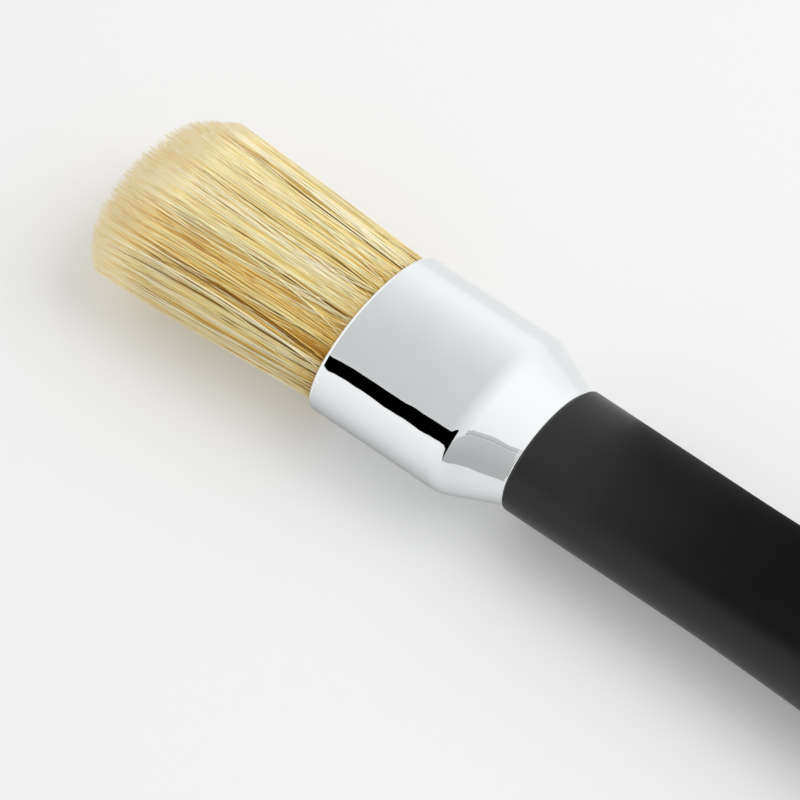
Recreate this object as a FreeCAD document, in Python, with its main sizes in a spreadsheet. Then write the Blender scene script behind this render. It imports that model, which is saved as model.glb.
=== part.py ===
"""Pastry brush: an oval plated ferrule holding a tuft of bristles, screwed to a soft-gripped handle.

The long axis lies along X, bristles towards -X and handle towards +X, and the brush lies flat on z = 0.
Every sub-part is drawn from the centre of the ferrule's mouth, with X running back towards the handle,
and its Placement puts that point in the row frame. Sections across X are ovals, wider than they are thick.
"""
import FreeCAD, Part
import math
import os
import Sketcher

# Driving dimensions in millimetres: alias, value, meaning.
SIZES = [
    ("bristle_length", 48.8, "mouth of the ferrule to the tip of the tuft"),
    ("tip_width", 35.4, "tuft at its widest, near the tip"),
    ("tip_thickness", 23.2, "tuft at its thickest, near the tip"),
    ("tip_dome", 6.4, "how far the tuft's edge falls behind its middle"),
    ("dome_power", 4.7, "how square the dome's outline is: 2 is round, more is squarer"),
    ("hair_gap", 0.15, "tuft to the pocket's wall"),
    ("mouth_width", 32.84, "outside of the ferrule's barrel at the mouth"),
    ("mouth_thickness", 21.58, "outside of the barrel at the mouth"),
    ("barrel_flare", 0.34, "how much wider the barrel is at the shoulder"),
    ("barrel_thinning", 0.62, "how much thinner the barrel is at the shoulder"),
    ("barrel_length", 25.9, "mouth to shoulder"),
    ("cone_length", 10.0, "shoulder to the back edge of the ferrule"),
    ("neck_width", 23.5, "outside of the cone at its back edge"),
    ("neck_thickness", 16.8, "outside of the cone at its back edge"),
    ("shell_wall", 0.95, "wall of the ferrule"),
    ("web_thickness", 2.5, "cross wall between bristle pocket and handle socket"),
    ("rim_round", 0.8, "rounding of the mouth's outer edge"),
    ("shoulder_round", 3.0, "rounding of the shoulder"),
    ("fit_gap", 0.2, "clearance between parts that slide together"),
    ("resin_depth", 4.4, "resin between the butt ends and the web"),
    ("band_length", 4.0, "root band along the brush"),
    ("band_wall", 0.6, "thickness of the root band"),
    ("plug_width", 15.0, "wooden plug in the root of the tuft"),
    ("plug_thickness", 5.0, "wooden plug"),
    ("plug_inset", 2.0, "plug's front behind the mouth"),
    ("screw_diameter", 2.9, "thread of the ferrule screw"),
    ("screw_length", 14.0, "under the head"),
    ("head_diameter", 5.6, "screw head"),
    ("head_height", 2.0, "screw head"),
    ("recess_size", 3.0, "cross recess in the screw head, across"),
    ("recess_slot", 0.7, "cross recess, width of each arm"),
    ("recess_depth", 1.2, "cross recess"),
    ("washer_diameter", 7.0, "screw washer"),
    ("washer_thickness", 0.6, "screw washer"),
    ("seal_back", 3.6, "front of the tang seal behind the shoulder"),
    ("seal_length", 1.8, "tang seal along the brush"),
    ("seal_depth", 1.2, "tang seal from outside to inside"),
    ("grip_step_side", 0.75, "how far the grip stands out from the neck at the sides"),
    ("grip_step_top", 0.27, "how far it stands out at top and bottom"),
    ("grip_length", 118.0, "back edge of the ferrule to the end cap"),
    ("grip_wall", 1.8, "wall of the soft grip"),
    ("grip_bevel", 0.4, "bevel of the grip's front edge"),
    ("waist_back", 32.0, "end of the grip's straight front stretch, behind the neck"),
    ("belly_back", 84.0, "thickest place of the grip, behind the neck"),
    ("belly_width", 27.0, "grip at its belly"),
    ("rear_width", 25.4, "grip and end cap where they meet"),
    ("rear_thickness", 18.6, "grip and end cap where they meet"),
    ("cap_length", 34.0, "end cap"),
    ("cap_taper", 21.0, "end cap's sweep from the grip's line down to the tongue"),
    ("spigot_length", 8.0, "core inside the end cap"),
    ("spigot_width", 15.0, "core inside the end cap"),
    ("spigot_thickness", 7.0, "core inside the end cap"),
    ("tongue_width", 19.0, "flat end of the end cap, and its rounded end's diameter"),
    ("tongue_thickness", 6.0, "flat end of the end cap"),
    ("tongue_root", 8.0, "where the tongue starts inside the sweep, behind the grip"),
    ("tongue_cover", 0.3, "how far the sweep's end lies inside the tongue's faces"),
    ("hang_hole", 7.0, "hanging hole"),
    ("pilot_gap", 0.1, "screw thread in its holes"),
]

# Stations of the swept lofts, and how far each station of the dome falls behind its tip.
RISE_STEPS = 8
FALL_STEPS = 6
CAP_STEPS = 8
DOME_FALLS = (0.6, 0.3, 0.1, 0.02)
DOME_FLAT = 0.002

# Distances behind the mouth, in terms of the sheet.
WEB_FRONT = "(Sizes.barrel_length - Sizes.web_thickness)"
BUTT = f"({WEB_FRONT} - Sizes.resin_depth)"
NECK = "(Sizes.barrel_length + Sizes.cone_length)"
GRIP_END = f"({NECK} + Sizes.grip_length)"
CAP_END = f"({GRIP_END} + Sizes.cap_length)"
HOLE_X = f"({CAP_END} - Sizes.tongue_width / 2)"

# Ovals as (width, thickness) pairs of expressions.
MOUTH = ("Sizes.mouth_width", "Sizes.mouth_thickness")
SHOULDER = ("(Sizes.mouth_width + Sizes.barrel_flare)", "(Sizes.mouth_thickness - Sizes.barrel_thinning)")
NECK_OVAL = ("Sizes.neck_width", "Sizes.neck_thickness")
GRIP_FRONT = (
    "(Sizes.neck_width + 2 * Sizes.grip_step_side)",
    "(Sizes.neck_thickness + 2 * Sizes.grip_step_top)",
)
# The belly is as thick as the mouth, so that the brush lies level on both.
BELLY = ("Sizes.belly_width", "Sizes.mouth_thickness")
REAR = ("Sizes.rear_width", "Sizes.rear_thickness")
TONGUE = ("Sizes.tongue_width", "Sizes.tongue_thickness")
SPIGOT = ("Sizes.spigot_width", "Sizes.spigot_thickness")
PLUG = ("Sizes.plug_width", "Sizes.plug_thickness")


def shrink(oval, wall):
    """The oval that lies a wall inside another."""
    width, thickness = oval
    return f"({width} - 2 * {wall})", f"({thickness} - 2 * {wall})"


def between(first, last, share):
    """The oval part of the way along a straight taper."""
    return tuple(f"({a} + ({b} - {a}) * {share})" for a, b in zip(first, last))


def fill_sheet(doc):
    """The sheet of driving dimensions: name, value and meaning on each row."""
    sheet = doc.addObject("Spreadsheet::Sheet", "Sizes")
    for row, (alias, value, meaning) in enumerate(SIZES, 1):
        sheet.set(f"A{row}", alias)
        sheet.set(f"B{row}", str(value))
        sheet.set(f"C{row}", meaning)
        sheet.setAlias(f"B{row}", alias)
    doc.recompute()
    return sheet


def new_body(doc, label):
    """An empty body placed with the mouth's centre as its origin."""
    body = doc.addObject("PartDesign::Body", label)
    body.Label = label
    total = f"(Sizes.bristle_length + {CAP_END})"
    body.setExpression("Placement.Base.x", f"Sizes.bristle_length - {total} / 2")
    body.setExpression("Placement.Base.z", "Sizes.mouth_thickness / 2")
    return body


def new_sketch(body, name, role, distance="0"):
    """A sketch on one of the body's origin planes, moved out along the plane's normal."""
    sketch = body.newObject("Sketcher::SketchObject", name)
    plane = next(item for item in body.Origin.OriginFeatures if item.Role == role)
    sketch.AttachmentSupport = [(plane, "")]
    sketch.MapMode = "FlatFace"
    sketch.setExpression("AttachmentOffset.Base.z", distance)
    return sketch


def bind(sketch, name, constraint, expression):
    """Add a size to a sketch and tie it to the sheet."""
    index = sketch.addConstraint(constraint)
    sketch.renameConstraint(index, name)
    sketch.setExpression(f"Constraints.{name}", expression)


def draw_oval(sketch, oval, tag=""):
    """An ellipse centred on the sketch's origin, its long axis level."""
    shape = sketch.addGeometry(Part.Ellipse(FreeCAD.Vector(0, 0, 0), 10, 6), False)
    sketch.exposeInternalGeometry(shape)
    long_axis, short_axis = shape + 1, shape + 2
    sketch.addConstraint(Sketcher.Constraint("Coincident", shape, 3, -1, 1))
    sketch.addConstraint(Sketcher.Constraint("Horizontal", long_axis))
    bind(sketch, "width" + tag, Sketcher.Constraint("Distance", long_axis, 20), oval[0])
    bind(sketch, "thickness" + tag, Sketcher.Constraint("Distance", short_axis, 12), oval[1])


def draw_circle(sketch, diameter):
    """A circle centred on the sketch's origin."""
    shape = sketch.addGeometry(Part.Circle(FreeCAD.Vector(0, 0, 0), FreeCAD.Vector(0, 0, 1), 2), False)
    sketch.addConstraint(Sketcher.Constraint("Coincident", shape, 3, -1, 1))
    bind(sketch, "diameter", Sketcher.Constraint("Diameter", shape, 4), diameter)


def loft(body, name, stations, cut=False):
    """A loft along X through stations of (distance behind the mouth, oval)."""
    sketches = []
    for number, (distance, oval) in enumerate(stations):
        sketch = new_sketch(body, f"{name}_oval_{number}", "YZ_Plane", distance)
        draw_oval(sketch, oval)
        sketches.append(sketch)
    kind = "SubtractiveLoft" if cut else "AdditiveLoft"
    feature = body.newObject(f"PartDesign::{kind}", name)
    feature.Profile = (sketches[0], [""])
    feature.Sections = [(sketch, [""]) for sketch in sketches[1:]]
    feature.Ruled = True
    return feature


def round_hole(body, name, start, length, diameter):
    """A round hole along X, from a start towards the handle."""
    sketch = new_sketch(body, name + "_circle", "YZ_Plane", start)
    draw_circle(sketch, diameter)
    hole = body.newObject("PartDesign::Pocket", name)
    hole.Profile = sketch
    hole.Reversed = True
    hole.setExpression("Length", length)
    return hole


def round_disc(body, name, start, length, diameter):
    """A round disc along X, from a start towards the handle."""
    sketch = new_sketch(body, name + "_circle", "YZ_Plane", start)
    draw_circle(sketch, diameter)
    disc = body.newObject("PartDesign::Pad", name)
    disc.Profile = sketch
    disc.setExpression("Length", length)
    return disc


def edges_at(doc, feature, distance, width):
    """Names of the ring edges at a distance behind the mouth whose ring is that wide."""
    doc.recompute()
    names = []
    for number, edge in enumerate(feature.Shape.Edges, 1):
        points = edge.discretize(40)
        in_plane = all(abs(point.x - distance) < 0.01 for point in points)
        half_width = max(abs(point.y) for point in points)
        if in_plane and abs(2 * half_width - width) < 0.2:
            names.append(f"Edge{number}")
    return names


def round_edge(body, name, feature, edges, radius):
    """Round the named edges of a feature."""
    fillet = body.newObject("PartDesign::Fillet", name)
    fillet.Base = (feature, edges)
    fillet.setExpression("Radius", radius)
    return fillet


def make_ferrule(doc, sheet):
    """Plated shell: oval barrel and cone, open at both ends, with a drilled web inside."""
    body = new_body(doc, "ferrule")
    loft(body, "barrel", [("0", MOUTH), ("Sizes.barrel_length", SHOULDER)])
    cone = loft(body, "cone", [("Sizes.barrel_length", SHOULDER), (NECK, NECK_OVAL)])
    shoulder_width = sheet.mouth_width + sheet.barrel_flare
    shoulder = edges_at(doc, cone, sheet.barrel_length, shoulder_width)
    rounded = round_edge(body, "shoulder_fillet", cone, shoulder, "Sizes.shoulder_round")
    mouth = edges_at(doc, rounded, 0, sheet.mouth_width)
    round_edge(body, "rim_fillet", rounded, mouth, "min(Sizes.rim_round; 0.9 * Sizes.shell_wall)")
    inside_mouth = shrink(MOUTH, "Sizes.shell_wall")
    inside_shoulder = shrink(SHOULDER, "Sizes.shell_wall")
    at_web = between(inside_mouth, inside_shoulder, f"{WEB_FRONT} / Sizes.barrel_length")
    loft(body, "bristle_pocket", [("0", inside_mouth), (WEB_FRONT, at_web)], cut=True)
    socket = [("Sizes.barrel_length", inside_shoulder), (NECK, shrink(NECK_OVAL, "Sizes.shell_wall"))]
    loft(body, "handle_socket", socket, cut=True)
    bore = "Sizes.screw_diameter + 2 * Sizes.fit_gap"
    round_hole(body, "web_hole", WEB_FRONT, "Sizes.web_thickness", bore)
    return body


def pocket_oval(distance, gap):
    """Oval that fits the bristle pocket at a distance behind the mouth, with a gap all round."""
    inside_mouth = shrink(MOUTH, f"(Sizes.shell_wall + {gap})")
    inside_shoulder = shrink(SHOULDER, f"(Sizes.shell_wall + {gap})")
    return between(inside_mouth, inside_shoulder, f"({distance} / Sizes.barrel_length)")


def dome_station(fall, spread):
    """A place on the tuft's dome and its oval, whose size follows the dome's outline."""
    share = f"pow({spread}; 1 / Sizes.dome_power)"
    oval = (f"(Sizes.tip_width * {share})", f"(Sizes.tip_thickness * {share})")
    return f"-(Sizes.bristle_length - Sizes.tip_dome * {fall})", oval


def make_bristles(doc):
    """The tuft: it splays from the mouth to a domed tip, and its root is waisted for the band."""
    body = new_body(doc, "bristle_bundle")
    band_front = f"({BUTT} - Sizes.band_length - 2 * Sizes.fit_gap)"
    root = pocket_oval("0", "Sizes.hair_gap")
    stations = [("0", root), dome_station(1, 1)]
    stations += [dome_station(fall, fall) for fall in DOME_FALLS]
    stations.append(dome_station(0, DOME_FLAT))
    loft(body, "splay", stations)
    loft(body, "root", [("0", root), (band_front, pocket_oval(band_front, "Sizes.hair_gap"))])
    waist = "(Sizes.hair_gap + Sizes.band_wall + Sizes.fit_gap)"
    loft(body, "waist", [(band_front, pocket_oval(band_front, waist)), (BUTT, pocket_oval(BUTT, waist))])
    hole = shrink(PLUG, "(-Sizes.fit_gap)")
    front = "(Sizes.plug_inset - Sizes.fit_gap)"
    loft(body, "plug_hole", [(front, hole), (BUTT, hole)], cut=True)
    flatten_underside(body)
    return body


def flatten_underside(body):
    """The splayed tuft lies flat on z = 0, level with the ferrule and the grip's belly."""
    middle = "-(Sizes.bristle_length / 2)"
    sketch = level_sketch(body, "underside_outline", middle)
    sketch.setExpression("AttachmentOffset.Base.z", "-(Sizes.mouth_thickness / 2)")
    draw_rectangle(sketch, "Sizes.bristle_length", "Sizes.tip_width")
    cut = body.newObject("PartDesign::Pocket", "underside")
    cut.Profile = sketch
    cut.setExpression("Length", "Sizes.tip_thickness")


def make_root_band(doc):
    """The oval band round the waist of the tuft's root."""
    body = new_body(doc, "root_band")
    back = f"({BUTT} - Sizes.fit_gap)"
    front = f"({back} - Sizes.band_length)"
    outside = [(place, pocket_oval(place, "Sizes.hair_gap")) for place in (front, back)]
    inner_gap = "(Sizes.hair_gap + Sizes.band_wall)"
    inside = [(place, pocket_oval(place, inner_gap)) for place in (front, back)]
    loft(body, "band", outside)
    loft(body, "band_hole", inside, cut=True)
    return body


def make_spacer_plug(doc):
    """The wooden plug in the middle of the root, up against the resin."""
    body = new_body(doc, "spacer_plug")
    loft(body, "plug", [("Sizes.plug_inset", PLUG), (BUTT, PLUG)])
    return body


def make_resin_plug(doc):
    """The resin between butt ends and web, cast round the washer and screw head."""
    body = new_body(doc, "resin_plug")
    loft(body, "resin", [(place, pocket_oval(place, "Sizes.hair_gap")) for place in (BUTT, WEB_FRONT)])
    washer_room = "(Sizes.washer_thickness + Sizes.fit_gap)"
    head_room = f"({washer_room} + Sizes.head_height)"
    washer_bore = "Sizes.washer_diameter + 2 * Sizes.fit_gap"
    head_bore = "Sizes.head_diameter + 2 * Sizes.fit_gap"
    round_hole(body, "washer_room", f"({WEB_FRONT} - {washer_room})", washer_room, washer_bore)
    round_hole(body, "head_room", f"({WEB_FRONT} - {head_room})", head_room, head_bore)
    return body


def make_screw(doc):
    """Pan-head screw from the bristle pocket through the web into the tang."""
    body = new_body(doc, "ferrule_screw")
    under_head = f"({WEB_FRONT} - Sizes.washer_thickness)"
    head_front = f"({under_head} - Sizes.head_height)"
    round_disc(body, "head", head_front, "Sizes.head_height", "Sizes.head_diameter")
    round_disc(body, "thread", under_head, "Sizes.screw_length", "Sizes.screw_diameter")
    recess_slot(body, "level_slot", head_front, "Sizes.recess_size", "Sizes.recess_slot")
    recess_slot(body, "upright_slot", head_front, "Sizes.recess_slot", "Sizes.recess_size")
    return body


def recess_slot(body, name, start, across, along):
    """One arm of the cross recess in the screw head."""
    sketch = new_sketch(body, name + "_outline", "YZ_Plane", start)
    draw_rectangle(sketch, across, along)
    slot = body.newObject("PartDesign::Pocket", name)
    slot.Profile = sketch
    slot.Reversed = True
    slot.setExpression("Length", "Sizes.recess_depth")


def draw_rectangle(sketch, across, along):
    """A rectangle centred on the sketch's origin."""
    corners = [FreeCAD.Vector(x, y, 0) for x, y in ((-2, -1), (2, -1), (2, 1), (-2, 1))]
    for number, corner in enumerate(corners):
        sketch.addGeometry(Part.LineSegment(corner, corners[(number + 1) % 4]), False)
    for number in range(4):
        sketch.addConstraint(Sketcher.Constraint("Coincident", number, 2, (number + 1) % 4, 1))
        direction = "Horizontal" if number % 2 == 0 else "Vertical"
        sketch.addConstraint(Sketcher.Constraint(direction, number))
    sketch.addConstraint(Sketcher.Constraint("Symmetric", 0, 1, 1, 2, -1, 1))
    bind(sketch, "across", Sketcher.Constraint("DistanceX", 0, 1, 0, 2, 4), across)
    bind(sketch, "along", Sketcher.Constraint("DistanceY", 1, 1, 1, 2, 2), along)


def make_washer(doc):
    """Flat washer on the web under the screw head."""
    body = new_body(doc, "screw_washer")
    front = f"({WEB_FRONT} - Sizes.washer_thickness)"
    round_disc(body, "washer", front, "Sizes.washer_thickness", "Sizes.washer_diameter")
    bore = "Sizes.screw_diameter + 2 * Sizes.fit_gap"
    round_hole(body, "washer_hole", front, "Sizes.washer_thickness", bore)
    return body


def seal_ovals():
    """Outside and inside of the tang seal, which fits the socket at the seal's back edge."""
    back = "((Sizes.seal_back + Sizes.seal_length) / Sizes.cone_length)"
    socket = between(SHOULDER, NECK_OVAL, back)
    outside = shrink(socket, "(Sizes.shell_wall + Sizes.fit_gap / 2)")
    inside = shrink(outside, "Sizes.seal_depth")
    return outside, inside


def make_tang_seal(doc):
    """Square-section rubber ring in the tang's groove."""
    body = new_body(doc, "tang_seal")
    outside, inside = seal_ovals()
    front = "(Sizes.barrel_length + Sizes.seal_back)"
    back = f"({front} + Sizes.seal_length)"
    loft(body, "ring", [(front, outside), (back, outside)])
    loft(body, "ring_hole", [(front, inside), (back, inside)], cut=True)
    return body


def sweep(start, first, end, last, steps):
    """Stations of a loft that leaves one oval and arrives at another without a corner."""
    stations = []
    for step in range(1, steps + 1):
        along = step / steps
        share = round((1 - math.cos(math.pi * along)) / 2, 4)
        stations.append((f"({start} + ({end} - {start}) * {along})", between(first, last, share)))
    return stations


def grip_stations(wall):
    """The grip's ovals from front to back, a wall inside its outer surface."""
    waist = f"({NECK} + Sizes.waist_back)"
    belly = f"({NECK} + Sizes.belly_back)"
    stations = [(NECK, GRIP_FRONT), (waist, GRIP_FRONT)]
    stations += sweep(waist, GRIP_FRONT, belly, BELLY, RISE_STEPS)
    stations += sweep(belly, BELLY, GRIP_END, REAR, FALL_STEPS)
    return [(place, shrink(oval, wall)) for place, oval in stations]


def make_core(doc):
    """Rigid core: tang in the ferrule, shaft under the grip and spigot in the end cap."""
    body = new_body(doc, "handle_core")
    clear = "(Sizes.shell_wall + Sizes.fit_gap)"
    tang = [("Sizes.barrel_length", shrink(SHOULDER, clear)), (NECK, shrink(NECK_OVAL, clear))]
    loft(body, "tang", tang)
    loft(body, "shaft", grip_stations("(Sizes.grip_wall + Sizes.fit_gap)"))
    loft(body, "spigot", [(GRIP_END, SPIGOT), (f"({GRIP_END} + Sizes.spigot_length)", SPIGOT)])
    groove_floor = shrink(seal_ovals()[1], "(Sizes.fit_gap / 2)")
    groove_front = "Sizes.barrel_length + Sizes.seal_back - Sizes.fit_gap / 2"
    ring = new_sketch(body, "groove_ring", "YZ_Plane", groove_front)
    draw_oval(ring, SHOULDER)
    draw_oval(ring, groove_floor, "_floor")
    groove = body.newObject("PartDesign::Pocket", "seal_groove")
    groove.Profile = ring
    groove.Reversed = True
    groove.setExpression("Length", "Sizes.seal_length + Sizes.fit_gap")
    depth = "Sizes.screw_length - Sizes.washer_thickness - Sizes.web_thickness + 1"
    bore = "Sizes.screw_diameter + 2 * Sizes.pilot_gap"
    round_hole(body, "pilot_hole", "Sizes.barrel_length", depth, bore)
    return body


def make_grip(doc):
    """Soft sleeve from the ferrule's back edge to the end cap, with a gentle belly."""
    body = new_body(doc, "handle_grip")
    bevel_end = f"({NECK} + Sizes.grip_bevel)"
    bevel_front = shrink(GRIP_FRONT, "min(Sizes.grip_bevel; 0.4 * Sizes.grip_wall)")
    loft(body, "front_bevel", [(NECK, bevel_front), (bevel_end, GRIP_FRONT)])
    loft(body, "sleeve", [(bevel_end, GRIP_FRONT)] + grip_stations("0")[1:])
    loft(body, "sleeve_hole", grip_stations("Sizes.grip_wall"), cut=True)
    return body


def flat_pad(body, name, sketch, thickness):
    """Pad a sketch on the level plane, half up and half down."""
    pad = body.newObject("PartDesign::Pad", name)
    pad.Profile = sketch
    pad.Midplane = True
    pad.setExpression("Length", thickness)
    return pad


def level_sketch(body, name, distance):
    """A sketch on the level plane with its origin at a distance behind the mouth."""
    sketch = new_sketch(body, name, "XY_Plane")
    sketch.setExpression("AttachmentOffset.Base.x", distance)
    return sketch


def make_end_cap(doc):
    """Hard end cap that sweeps down to a flat tongue with a hanging hole."""
    body = new_body(doc, "end_cap")
    taper_end = f"({GRIP_END} + Sizes.cap_taper)"
    inside_tongue = shrink(TONGUE, "Sizes.tongue_cover")
    loft(body, "taper", [(GRIP_END, REAR)] + sweep(GRIP_END, REAR, taper_end, inside_tongue, CAP_STEPS))
    root = f"({GRIP_END} + Sizes.tongue_root)"
    plate = level_sketch(body, "tongue_plate", f"({root} + {HOLE_X}) / 2")
    draw_rectangle(plate, f"{HOLE_X} - {root}", "Sizes.tongue_width")
    flat_pad(body, "tongue", plate, "Sizes.tongue_thickness")
    disc = level_sketch(body, "end_circle", HOLE_X)
    draw_circle(disc, "Sizes.tongue_width")
    flat_pad(body, "round_end", disc, "Sizes.tongue_thickness")
    circle = level_sketch(body, "hole_circle", HOLE_X)
    draw_circle(circle, "Sizes.hang_hole")
    hole = body.newObject("PartDesign::Pocket", "hang_hole")
    hole.Profile = circle
    hole.Midplane = True
    hole.setExpression("Length", "2 * Sizes.mouth_thickness")
    room = shrink(SPIGOT, "(-Sizes.fit_gap)")
    depth = "(Sizes.spigot_length + Sizes.fit_gap)"
    loft(body, "spigot_room", [(GRIP_END, room), (f"({GRIP_END} + {depth})", room)], cut=True)
    return body


def check_and_write(doc, bodies):
    """Stop on any failed object, then write each sub-part to its own STEP file."""
    doc.recompute()
    for item in doc.Objects:
        if "Invalid" in item.State or "Error" in item.State:
            raise RuntimeError(f"{item.Name} failed: {item.State}")
    os.makedirs("parts", exist_ok=True)
    for body in bodies:
        shape = body.Shape
        if shape.isNull() or not shape.isValid() or len(shape.Solids) != 1:
            raise RuntimeError(f"{body.Label} has no single valid solid")
        shape.exportStep(f"parts/{body.Label}.step")
        box = shape.optimalBoundingBox(False)
        print(f"{body.Label}: {shape.Volume / 1000:.2f} cm3, z {box.ZMin:.2f} to {box.ZMax:.2f}")


def main():
    doc = FreeCAD.newDocument("pastry_brush")
    sheet = fill_sheet(doc)
    bodies = [
        make_ferrule(doc, sheet),
        make_bristles(doc),
        make_root_band(doc),
        make_spacer_plug(doc),
        make_resin_plug(doc),
        make_screw(doc),
        make_washer(doc),
        make_tang_seal(doc),
        make_core(doc),
        make_grip(doc),
        make_end_cap(doc),
    ]
    check_and_write(doc, bodies)


main()
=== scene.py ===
# %% [markdown]
# # An oval pastry brush
# This lesson dresses a finished engineering model. The brush lies on its side on a pale table: bristles to
# the left, a chrome ferrule, and a soft black handle to the right. The engineering model already says how
# big each piece is, so nothing here moves or resizes it. Pieces with visible curves are remodelled at the
# same size, because a rendered curve needs more points than a collision shape has.

# %% Load the fixed frame
import math
import bpy
import numpy as np
from mathutils import Matrix, Vector


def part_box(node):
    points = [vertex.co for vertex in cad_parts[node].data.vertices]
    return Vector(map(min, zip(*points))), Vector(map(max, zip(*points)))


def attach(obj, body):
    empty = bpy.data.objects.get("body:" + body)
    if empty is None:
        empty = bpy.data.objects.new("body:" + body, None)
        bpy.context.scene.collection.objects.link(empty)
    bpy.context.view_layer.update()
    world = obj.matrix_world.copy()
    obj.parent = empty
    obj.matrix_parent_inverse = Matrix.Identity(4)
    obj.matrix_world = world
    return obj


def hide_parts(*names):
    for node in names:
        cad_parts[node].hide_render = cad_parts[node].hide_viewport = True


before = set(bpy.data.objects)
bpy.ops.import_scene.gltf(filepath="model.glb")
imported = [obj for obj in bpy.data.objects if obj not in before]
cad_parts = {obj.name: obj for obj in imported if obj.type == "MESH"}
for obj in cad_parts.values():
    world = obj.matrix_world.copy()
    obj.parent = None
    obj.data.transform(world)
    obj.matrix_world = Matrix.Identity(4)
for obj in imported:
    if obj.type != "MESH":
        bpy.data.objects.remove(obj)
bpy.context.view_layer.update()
print("pieces in the frame:", sorted(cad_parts))

# %% [markdown]
# ## Sizes
# One millimetre is written as MM, so that sizes read as they do on a drawing. Places along the brush are
# taken from the frame. Ovals are half-width and half-thickness.

# %% Sizes of the brush
MM = 0.001
ferrule_low, ferrule_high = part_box("ferrule")
grip_low, grip_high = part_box("handle_grip")
tuft_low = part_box("bristle_bundle")[0]
cap_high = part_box("end_cap")[1]
MOUTH_X = ferrule_low.x
NECK_X = ferrule_high.x
GRIP_END_X = grip_high.x
BARREL = 25.9 * MM
SHOULDER_X = MOUTH_X + BARREL
AXIS_Z = (grip_low.z + grip_high.z) / 2
MOUTH = (16.42 * MM, 10.79 * MM)
SHOULDER = (16.59 * MM, 10.48 * MM)
NECK = (11.75 * MM, 8.40 * MM)
GRIP_FRONT = (12.5 * MM, 8.67 * MM)
BELLY = (13.5 * MM, 10.79 * MM)
REAR = (12.7 * MM, 9.3 * MM)
WALL = 0.95 * MM
print(f"axis {AXIS_Z / MM:.2f} mm high, mouth at {MOUTH_X / MM:.2f}, neck at {NECK_X / MM:.2f}")

# %% [markdown]
# ## Helpers for modelling ovals
# Every hard part of this brush is a stack of ovals along one axis. By hand, you would add a circle, squash
# it, and then extrude and scale it again and again. The helper does just that, one station at a time.

# %% Build a stack of ovals
SMOOTH_SIDES = 128


def deselect_all():
    bpy.ops.object.select_all(action="DESELECT")


def scale_ring(x, across, up):
    """Scale the selected ring about the brush's axis."""
    bpy.ops.transform.resize(value=(1, across, up), center_override=(x, 0, AXIS_Z))


def oval_skin(name, stations, sides=SMOOTH_SIDES):
    """Extrude an oval ring through stations of (x, half width, half thickness)."""
    deselect_all()
    x, half_width, half_thickness = stations[0]
    bpy.ops.mesh.primitive_circle_add(
        vertices=sides, radius=1, location=(x, 0, AXIS_Z), rotation=(0, math.pi / 2, 0)
    )
    skin = bpy.context.object
    skin.name = skin.data.name = name
    bpy.ops.object.transform_apply(location=True, rotation=True, scale=True)
    bpy.ops.object.mode_set(mode="EDIT")
    bpy.ops.mesh.select_all(action="SELECT")
    scale_ring(x, half_width, half_thickness)
    for place, width, thickness in stations[1:]:
        bpy.ops.mesh.extrude_region_move(TRANSFORM_OT_translate={"value": (place - x, 0, 0)})
        scale_ring(place, width / half_width, thickness / half_thickness)
        x, half_width, half_thickness = place, width, thickness
    bpy.ops.object.mode_set(mode="OBJECT")
    return skin


# %% [markdown]
# A shell's last ring lies on its first. They are merged, and then all the faces are turned outwards and the
# gentle edges are shaded smooth, while the sharp ones stay sharp.

# %% Close a shell
SAME_PLACE = 1e-6
GENTLE_EDGE = math.radians(32)


def close_and_smooth(piece):
    """Merge the last ring with the first, point all faces outwards and smooth the gentle edges."""
    deselect_all()
    piece.select_set(True)
    bpy.context.view_layer.objects.active = piece
    bpy.ops.object.mode_set(mode="EDIT")
    bpy.ops.mesh.select_all(action="SELECT")
    bpy.ops.mesh.remove_doubles(threshold=SAME_PLACE)
    bpy.ops.mesh.normals_make_consistent(inside=False)
    bpy.ops.object.mode_set(mode="OBJECT")
    bpy.ops.object.shade_smooth_by_angle(angle=GENTLE_EDGE)
    print(f"{piece.name}: {len(piece.data.polygons)} faces")


# %% [markdown]
# Every finished piece gets its material, rides on the brush's one body, and hides the engineering pieces
# that it stands for. Two more helpers do sums with ovals: one shrinks an oval by a wall, one blends two.

# %% Settle a piece, shrink and blend ovals
def settle(piece, slot, material, *nodes):
    """Give a piece its finish and its place in the frame, and hide the engineering pieces it stands for."""
    piece.data.materials.clear()
    piece.data.materials.append(material)
    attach(piece, "root")
    if nodes:
        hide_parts(*nodes)


def inset(oval, wall):
    """The oval a wall inside another."""
    return oval[0] - wall, oval[1] - wall


def mix(first, last, share):
    """The oval part of the way between two."""
    return tuple(a + (b - a) * share for a, b in zip(first, last))


# %% [markdown]
# ## Node helpers
# Materials are built in code too. A small helper adds a node, sets its values and joins its inputs, so that
# each material reads as a short list of steps.

# %% Helpers for shader nodes
def new_material(name):
    """A material with one Principled BSDF, and its node tree."""
    material = bpy.data.materials.new(name)
    material.use_nodes = True
    tree = material.node_tree
    shader = tree.nodes["Principled BSDF"]
    return material, tree, shader


def add_node(tree, kind, values=None, **settings):
    """Add a node: settings are its properties, values its inputs or the sockets that feed them."""
    node = tree.nodes.new(kind)
    for key, value in settings.items():
        setattr(node, key, value)
    for key, value in (values or {}).items():
        if isinstance(value, bpy.types.NodeSocket):
            tree.links.new(value, node.inputs[key])
        else:
            node.inputs[key].default_value = value
    return node


def ramp(tree, factor, stops):
    """A colour ramp with (position, colour or grey) stops."""
    node = add_node(tree, "ShaderNodeValToRGB", {"Fac": factor})
    elements = node.color_ramp.elements
    while len(elements) < len(stops):
        elements.new(0.5)
    for element, (position, colour) in zip(elements, stops):
        element.position = position
        shade = (colour,) * 3 if isinstance(colour, (int, float)) else colour
        element.color = (*shade, 1)
    return node.outputs["Color"]


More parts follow.
